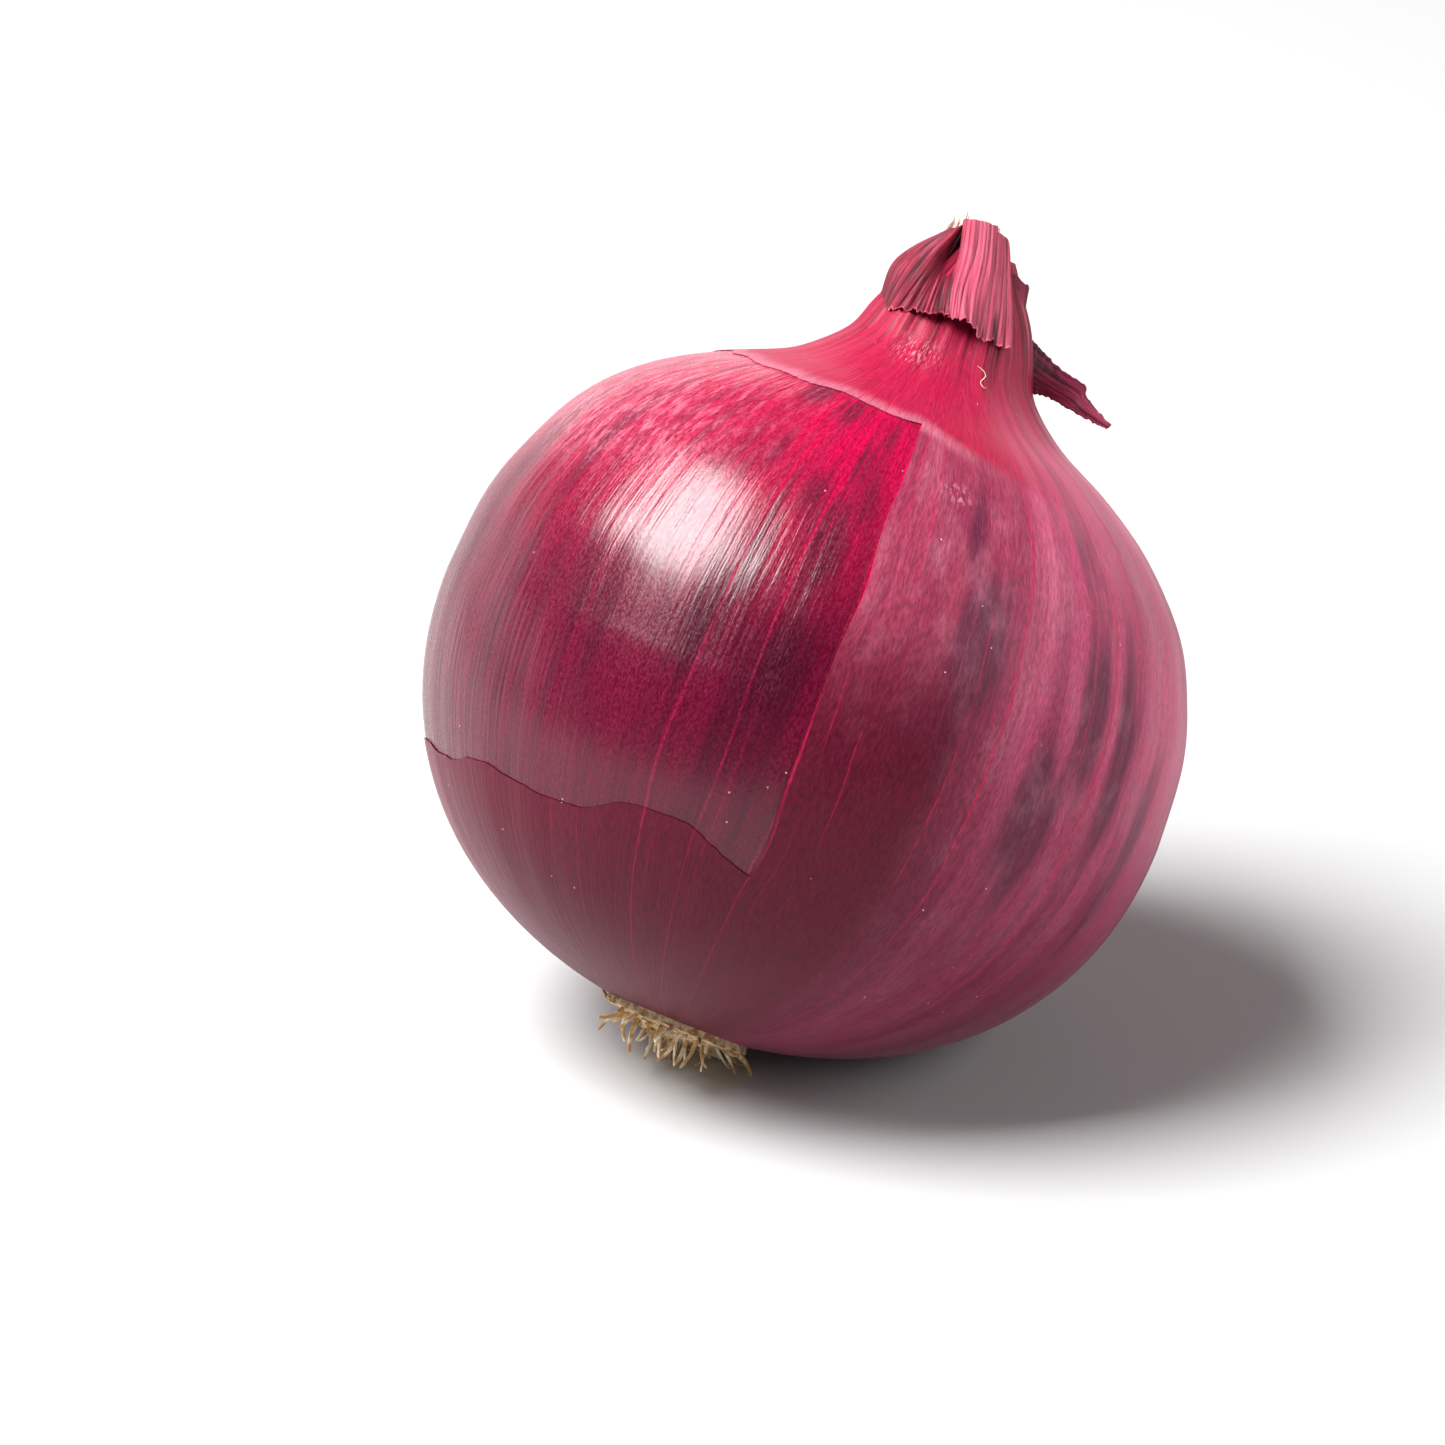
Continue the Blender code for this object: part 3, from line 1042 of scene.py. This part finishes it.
def make_sheath():
    """The sheath round the left and the back of the neck, torn off unevenly at its top."""
    line = skin_outline()
    start, end = math.radians(-50), math.radians(-207)

    def place(across, up):
        angle = start + (end - start) * across
        top = 46.6 + 1.6 * ease(across, 0.04, 0.2) - 2.4 * ease(across, 0.45, 0.62)
        top += 0.9 * noise.noise(Vector((across * 9, 2.2, 0)))
        top += 0.6 * noise.noise(Vector((across * 37, 2.2, 0)))
        height = (39.6 + (top - 39.6) * up) * MM
        stands = -0.15 + 2.0 * ease(height / MM, 39.6, 46.0)
        radius = radius_at(line, height) + relief(angle, height) + stands * MM
        fold = pleats(across, up, 8.0, 18)
        radius += 0.22 * MM * up * fold
        # Marks the grooves between the pleats for painted shade.
        groove = groove_of(fold)
        return on_ring(angle, radius, height), Vector((across * 20, up * 7, groove)), 0.0

    # The third colour is the painted shade in the grooves.
    material = dry_leaf("withered_dark_leaf", "#74182F", "#4A0E20", "#280610", "#93304C")
    return leaf_sheet("dry_sheath", 220, 60, place, material, ["neck_sheath"])


def make_flap(material):
    """The tongue that peels off the right of the neck, folded along its middle."""
    upper = [Vector(p) * MM for p in ((7.4, 1.4, 42.3), (10.9, 2.4, 40.7), (14.2, 2.5, 39.9),
                                      (14.7, 1.9, 39.0), (16.6, 1.2, 37.9), (18.1, 0.7, 37.2))]
    lower = [Vector(p) * MM for p in ((9.3, 1.0, 37.1), (10.9, 1.3, 37.5), (13.2, 1.0, 37.2),
                                      (14.7, 0.7, 36.95), (16.5, 0.6, 36.8), (17.8, 0.5, 36.7))]
    stations = (0.0, 0.33, 0.62, 0.68, 0.86, 1.0)

    def place(along, across):
        top = between(upper, stations, along)
        bottom = between(lower, stations, along)
        point = bottom.lerp(top, across)
        bent = max(1 - abs(across - 0.52) / 0.52, 0)
        point.y -= MM * 1.1 * bent ** 0.8 * (1 - along) ** 0.5
        fold = pleats(across, along, 21.0, 4)
        point.y -= MM * 0.14 * fold
        edge = noise.noise(Vector((along * 22, across * 2, 9.0))) * 0.2
        edge += noise.noise(Vector((along * 60, across * 2, 4.0))) * 0.1
        point.z += edge * (2 * across - 1) * MM
        # Marks the grooves between the pleats for painted shade.
        groove = groove_of(fold)
        tint = 0.6 * ease(along, 0.6, 1.0) + 0.8 * ease(across, 0.95, 1.0)
        return point, Vector((across * 5, along * 11, groove)), tint

    return leaf_sheet("hanging_flap", 120, 44, place, material, ["skin_flap"])


def make_scrap(material):
    """The folded scrap behind the collar's right edge."""
    inner = [Vector(p) * MM for p in ((6.2, -3.2, 41.4), (5.0, -2.6, 44.0), (3.3, -1.8, 47.3))]
    crest = [Vector(p) * MM for p in ((7.4, -1.2, 41.4), (6.1, -0.6, 44.0), (5.4, -0.4, 46.7))]
    back = [Vector(p) * MM for p in ((7.6, 3.6, 41.2), (6.2, 3.2, 43.6), (4.4, 2.4, 46.0))]
    stations = (0.0, 0.5, 1.0)

    def place(across, up):
        curves = [between(line, stations, up) for line in (inner, crest, back)]
        point = between(curves, (0.0, 0.45, 1.0), across)
        fold = pleats(across, up, 31.0, 5)
        point.x += 0.14 * MM * fold
        ragged = noise.noise(Vector((across * 12, 0.5, 2.0)))
        point.z += 0.5 * MM * ragged * up ** 4
        # Marks the grooves between the pleats for painted shade.
        groove = groove_of(fold)
        return point, Vector((across * 6, up * 6, groove)), 0.4 * ease(across, 0.35, 0.5)

    return leaf_sheet("neck_scrap_leaf", 60, 50, place, material, ["neck_scrap"])


# Dry flakes inside the neck: angle, radius, lowest and highest point, width and curl, in mm
FLAKES = (
    (-80.0, 4.3, 46.5, 51.0, 2.2, 0.3),
    (-62.0, 4.0, 46.5, 50.9, 1.8, 0.3),
    (-102.0, 4.2, 46.0, 50.4, 2.4, 0.5),
    (-128.0, 5.6, 46.0, 50.5, 3.6, 0.2),
    (-146.0, 5.2, 46.0, 50.2, 2.6, 0.3),
    (-165.0, 3.8, 45.5, 49.3, 3.0, 0.7),
    (160.0, 3.0, 45.5, 50.2, 2.6, -0.4),
    (125.0, 3.4, 44.5, 48.2, 2.8, 0.2),
    (90.0, 2.6, 45.0, 48.0, 2.4, 0.0),
    (10.0, 1.9, 47.0, 50.9, 2.2, -0.3),
    (-150.0, 2.0, 47.0, 50.8, 2.4, -0.2),
)


def make_flakes():
    """Torn inner leaves that dried round the growing tip, with curled, broken ends."""
    bm = bmesh.new()
    leaf = bm.verts.layers.float_vector.new("leaf")
    tint = bm.verts.layers.float.new("tint")
    for index, (turn, radius, low, high, width, curl) in enumerate(FLAKES):
        made = bmesh.ops.create_grid(bm, x_segments=22, y_segments=30, size=0.5)["verts"]
        for vert in made:
            across, up = vert.co.x, vert.co.y + 0.5
            jagged = noise.noise(Vector((across * 5, index, 0)))
            jagged += 0.6 * noise.noise(Vector((across * 17, index, 5)))
            height = low + (high - low) * up + 0.9 * jagged * up ** 5
            out = radius * (1 - 0.25 * up) + curl * up ** 3
            out += 0.12 * noise.noise(Vector((across * 9, up * 2, index)))
            angle = math.radians(turn) + width * across * (1 - 0.35 * up) / radius
            vert.co = on_ring(angle, out, height) * MM
            vert[leaf] = Vector((across * width + index * 9, up * 4, 0))
            vert[tint] = up ** 2
    bmesh.ops.transform(bm, matrix=lean_matrix(), verts=bm.verts)
    thicken(bm, 0.12 * MM)
    material = dry_leaf("withered_pale_leaf", "#C08E86", "#8E4250", "#4A1C28", "#F0DDD2")
    return finish_piece(bm, "neck_flakes", material)


# The root plate: its rim's radius and its dome's height in mm, and its rings of ridges
PLATE_RIM = 7.3
PLATE_DOME = 1.3
PLATE_RIDGES = 7


def make_root_plate():
    """The corky disc that the roots grow from, with a ridged rim."""
    rim_height = belly(BELLY_STEPS)[-1].y
    bm = bmesh.new()
    bmesh.ops.create_circle(bm, cap_ends=True, cap_tris=False, segments=96, radius=PLATE_RIM * MM)
    for _ in range(PLATE_RIDGES):
        inner = [f for f in bm.faces if len(f.verts) > 4]
        bmesh.ops.inset_region(bm, faces=inner, thickness=0.8 * MM, use_even_offset=True)
    bmesh.ops.poke(bm, faces=[f for f in bm.faces if len(f.verts) > 4])
    for vert in bm.verts:
        radius = vert.co.xy.length / MM
        angle = math.atan2(vert.co.y, vert.co.x)
        lump = 0.5 * noise.noise(Vector((vert.co.x, vert.co.y, 0)) / (1.3 * MM))
        dome = PLATE_DOME * (1 - (radius / PLATE_RIM) ** 2)
        edge = 0.25 * noise.noise(Vector((math.cos(angle) * 4, math.sin(angle) * 4, 0)))
        vert.co.z = rim_height + (0.5 - dome - lump * ease(radius, 7.4, 5.0) + edge) * MM
    bmesh.ops.transform(bm, matrix=lean_matrix(), verts=bm.verts)
    for vert in bm.verts:
        vert.co.z = max(vert.co.z, 0.3 * MM)
    bm.normal_update()
    bmesh.ops.solidify(bm, geom=bm.faces[:], thickness=1.2 * MM)
    bmesh.ops.recalc_face_normals(bm, faces=bm.faces)
    return finish_piece(bm, "root_plate", cork_material())


def tubes(lines, thickness):
    """A bmesh of thin round tubes along lines of points, each with its share of a radius."""
    curve = bpy.data.curves.new("tubes", "CURVE")
    curve.dimensions = "3D"
    curve.bevel_depth = thickness
    curve.bevel_resolution = 1
    curve.use_fill_caps = True
    for line in lines:
        spline = curve.splines.new("POLY")
        spline.points.add(len(line) - 1)
        for made, (point, share) in zip(spline.points, line):
            made.co = (*point, 1)
            made.radius = share
    holder = bpy.data.objects.new("tubes", curve)
    bpy.context.scene.collection.objects.link(holder)
    bpy.context.view_layer.update()
    depsgraph = bpy.context.evaluated_depsgraph_get()
    mesh = bpy.data.meshes.new_from_object(holder.evaluated_get(depsgraph))
    bpy.data.objects.remove(holder)
    bm = bmesh.new()
    bm.from_mesh(mesh)
    bpy.data.meshes.remove(mesh)
    bmesh.ops.remove_doubles(bm, verts=bm.verts, dist=1e-6)
    return bm


# The roots: where on the plate and how long they are, in mm, and points along each
ROOTS_WITHIN = 6.4
ROOT_LENGTHS = (1.5, 5.5)
ROOT_STEPS = 7
ROOT_THICKNESS = 0.28 * MM
FIBRE_THICKNESS = 0.045 * MM


def make_roots(material):
    """Clipped, dried roots that curl away from the root plate."""
    chance = random.Random(11)
    rim_height = belly(BELLY_STEPS)[-1].y
    lean = lean_matrix()
    lines = []
    for _ in range(shape().root_count):
        turn = chance.uniform(0, 2 * math.pi)
        out = ROOTS_WITHIN * MM * math.sqrt(chance.uniform(0.02, 1.0))
        length = chance.uniform(*ROOT_LENGTHS) * MM
        splay = chance.uniform(0.2, 1.3) * (out / (ROOTS_WITHIN * MM) + 0.3)
        way = on_ring(turn + chance.uniform(-0.5, 0.5), math.sin(splay), -math.cos(splay))
        point = on_ring(turn, out, rim_height - 0.5 * MM)
        bend = Vector([chance.uniform(-1, 1) for _ in range(3)]) * 0.35
        thick = chance.uniform(0.6, 1.2)
        line = []
        for step in range(ROOT_STEPS):
            world = lean @ point
            world.z = max(world.z, 0.45 * MM)
            line.append((world, thick * (1 - 0.55 * step / ROOT_STEPS)))
            point = point + way * (length / ROOT_STEPS)
            way = (way + bend * 0.6).normalized()
        lines.append(line)
    bm = tubes(lines, ROOT_THICKNESS)
    return finish_piece(bm, "clipped_roots", material)


# A loose fibre that clings to the neck's front right: angle in degrees and height in mm
FIBRE = (
    (22.0, 37.5),
    (26.0, 37.3),
    (28.0, 36.9),
    (26.5, 36.5),
    (25.0, 36.1),
    (26.5, 35.7),
    (28.5, 35.8),
)


def make_fibre(material):
    """A pale curly fibre on the neck."""
    line = skin_outline()
    lean = lean_matrix()
    way = smooth_line([Vector(point) for point in FIBRE], 4)
    points = []
    for turn, up in way:
        angle, height = math.radians(turn), up * MM
        out = radius_at(line, height) + relief(angle, height) + 0.1 * MM
        points.append((lean @ on_ring(angle, out, height), 1.0))
    return finish_piece(tubes([points], FIBRE_THICKNESS), "neck_fibre", material)


def make_floor():
    """A wide white floor at height 0."""
    bm = bmesh.new()
    bmesh.ops.create_grid(bm, x_segments=8, y_segments=8, size=6.0)
    mesh = bpy.data.meshes.new("studio_floor")
    bm.to_mesh(mesh)
    bm.free()
    mesh.materials.append(floor_material())
    floor = bpy.data.objects.new("studio_floor", mesh)
    bpy.context.scene.collection.objects.link(floor)


# The soft boxes: their direction and distance from the onion, their sizes and their power
SOFT_BOXES = (
    ("key_soft_box", (-0.51, -0.08, 0.855), 0.9, (0.62, 0.5), 24.0),
    ("fill_soft_box", (0.86, -0.22, 0.38), 1.3, (1.2, 1.0), 9.0),
)


def add_area_light(name, direction, distance, size, power):
    """A soft box that looks at the onion's middle from a direction."""
    light = bpy.data.lights.new(name, "AREA")
    light.shape = "RECTANGLE"
    light.size, light.size_y = size
    light.energy = power
    lamp = bpy.data.objects.new(name, light)
    middle = lean_matrix().translation
    lamp.location = middle + Vector(direction).normalized() * distance
    lamp.rotation_euler = (lamp.location - middle).to_track_quat("Z", "Y").to_euler()
    bpy.context.scene.collection.objects.link(lamp)


def make_air():
    """A white backdrop that glows near the horizon, under a dim studio ceiling."""
    world = bpy.data.worlds.new("studio_air")
    world.use_nodes = True
    tree = world.node_tree
    tree.nodes.clear()
    way = node(tree, "ShaderNodeTexCoord").outputs["Generated"]
    split = node(tree, "ShaderNodeSeparateXYZ", {0: way}).outputs
    glow = times(tree, band(tree, split[2], 0.36, 0.08), band(tree, split[1], -0.2, 0.35, 0.2, 1.7))
    strength = arithmetic(tree, "ADD", glow, 0.06)
    air = node(tree, "ShaderNodeBackground", {"Color": (1, 1, 1, 1), "Strength": strength})
    node(tree, "ShaderNodeOutputWorld", {"Surface": air.outputs[0]})
    bpy.context.scene.world = world


def make_lights():
    make_air()
    for soft_box in SOFT_BOXES:
        add_area_light(*soft_box)


def make_camera():
    """Looks down on the onion's middle from the front, through a long lens."""
    camera_data = bpy.data.cameras.new("front_camera")
    camera_data.sensor_width = 36.0
    distance = shape().view_distance
    camera_data.lens = camera_data.sensor_width * distance / shape().view_width
    camera_data.clip_start = 0.05
    camera_data.clip_end = 30.0
    camera = bpy.data.objects.new("front_camera", camera_data)
    towards = Vector((0, -math.cos(LEAN_BACK), math.sin(LEAN_BACK)))
    up = Vector((0, math.sin(LEAN_BACK), math.cos(LEAN_BACK)))
    right = Vector((1, 0, 0))
    aim = lean_matrix().translation - right * AIM_LEFT - up * AIM_LOW
    camera.location = aim + towards * distance
    camera.rotation_euler = (math.pi / 2 - LEAN_BACK, 0, 0)
    bpy.context.scene.collection.objects.link(camera)
    bpy.context.scene.camera = camera


# ---------------------------------------------------------------------------------------------
# Operators, panel and registration


class ONION_OT_stage(bpy.types.Operator):
    """Make the floor, the lights and the camera"""

    bl_idname = "onion.stage"
    bl_label = "Studio Stage"

    def execute(self, context):
        make_camera()
        make_floor()
        make_lights()
        context.scene.view_settings.view_transform = "Standard"
        return {"FINISHED"}


class ONION_OT_bulb(bpy.types.Operator):
    """Make the bulb with its glossy skin"""

    bl_idname = "onion.bulb"
    bl_label = "Bulb"

    def execute(self, context):
        make_bulb()
        return {"FINISHED"}


class ONION_OT_outer_skin(bpy.types.Operator):
    """Make the torn papery outer skin"""

    bl_idname = "onion.outer_skin"
    bl_label = "Outer Skin"

    def execute(self, context):
        make_outer_skin()
        return {"FINISHED"}


class ONION_OT_neck(bpy.types.Operator):
    """Make the dry leaf remains at the neck"""

    bl_idname = "onion.neck"
    bl_label = "Neck"

    def execute(self, context):
        make_collar()
        make_sheath()
        # The third colour is the painted shade in the grooves of the flap and the scrap.
        dark = dry_leaf("withered_wine_leaf", "#8C2442", "#5E162E", "#2E0814", "#B04C66")
        make_flap(dark)
        make_scrap(dark)
        make_flakes()
        make_fibre(root_material())
        return {"FINISHED"}


class ONION_OT_roots(bpy.types.Operator):
    """Make the root plate and its clipped roots"""

    bl_idname = "onion.roots"
    bl_label = "Roots"

    def execute(self, context):
        make_root_plate()
        make_roots(root_material())
        return {"FINISHED"}


class ONION_PT_panel(bpy.types.Panel):
    """Sizes, colours and pieces of the onion"""

    bl_idname = "ONION_PT_panel"
    bl_label = "Red Onion"
    bl_space_type = "VIEW_3D"
    bl_region_type = "UI"
    bl_category = "Onion"

    def draw(self, context):
        layout = self.layout
        for group in (context.scene.onion_shape, context.scene.onion_colours):
            box = layout.box()
            for name in group.bl_rna.properties.keys():
                if name not in {"rna_type", "name"}:
                    box.prop(group, name)
        for operator in OPERATORS:
            layout.operator(operator.bl_idname)


OPERATORS = (
    ONION_OT_stage,
    ONION_OT_bulb,
    ONION_OT_outer_skin,
    ONION_OT_neck,
    ONION_OT_roots,
)
CLASSES = (OnionShape, OnionColours, *OPERATORS, ONION_PT_panel)


def register():
    for cls in CLASSES:
        bpy.utils.register_class(cls)
    bpy.types.Scene.onion_shape = bpy.props.PointerProperty(type=OnionShape)
    bpy.types.Scene.onion_colours = bpy.props.PointerProperty(type=OnionColours)


def unregister():
    del bpy.types.Scene.onion_colours
    del bpy.types.Scene.onion_shape
    for cls in reversed(CLASSES):
        bpy.utils.unregister_class(cls)


def main():
    register()
    bpy.ops.onion.stage()
    bpy.ops.onion.bulb()
    bpy.ops.onion.outer_skin()
    bpy.ops.onion.neck()
    bpy.ops.onion.roots()


if __name__ == "__main__":
    main()
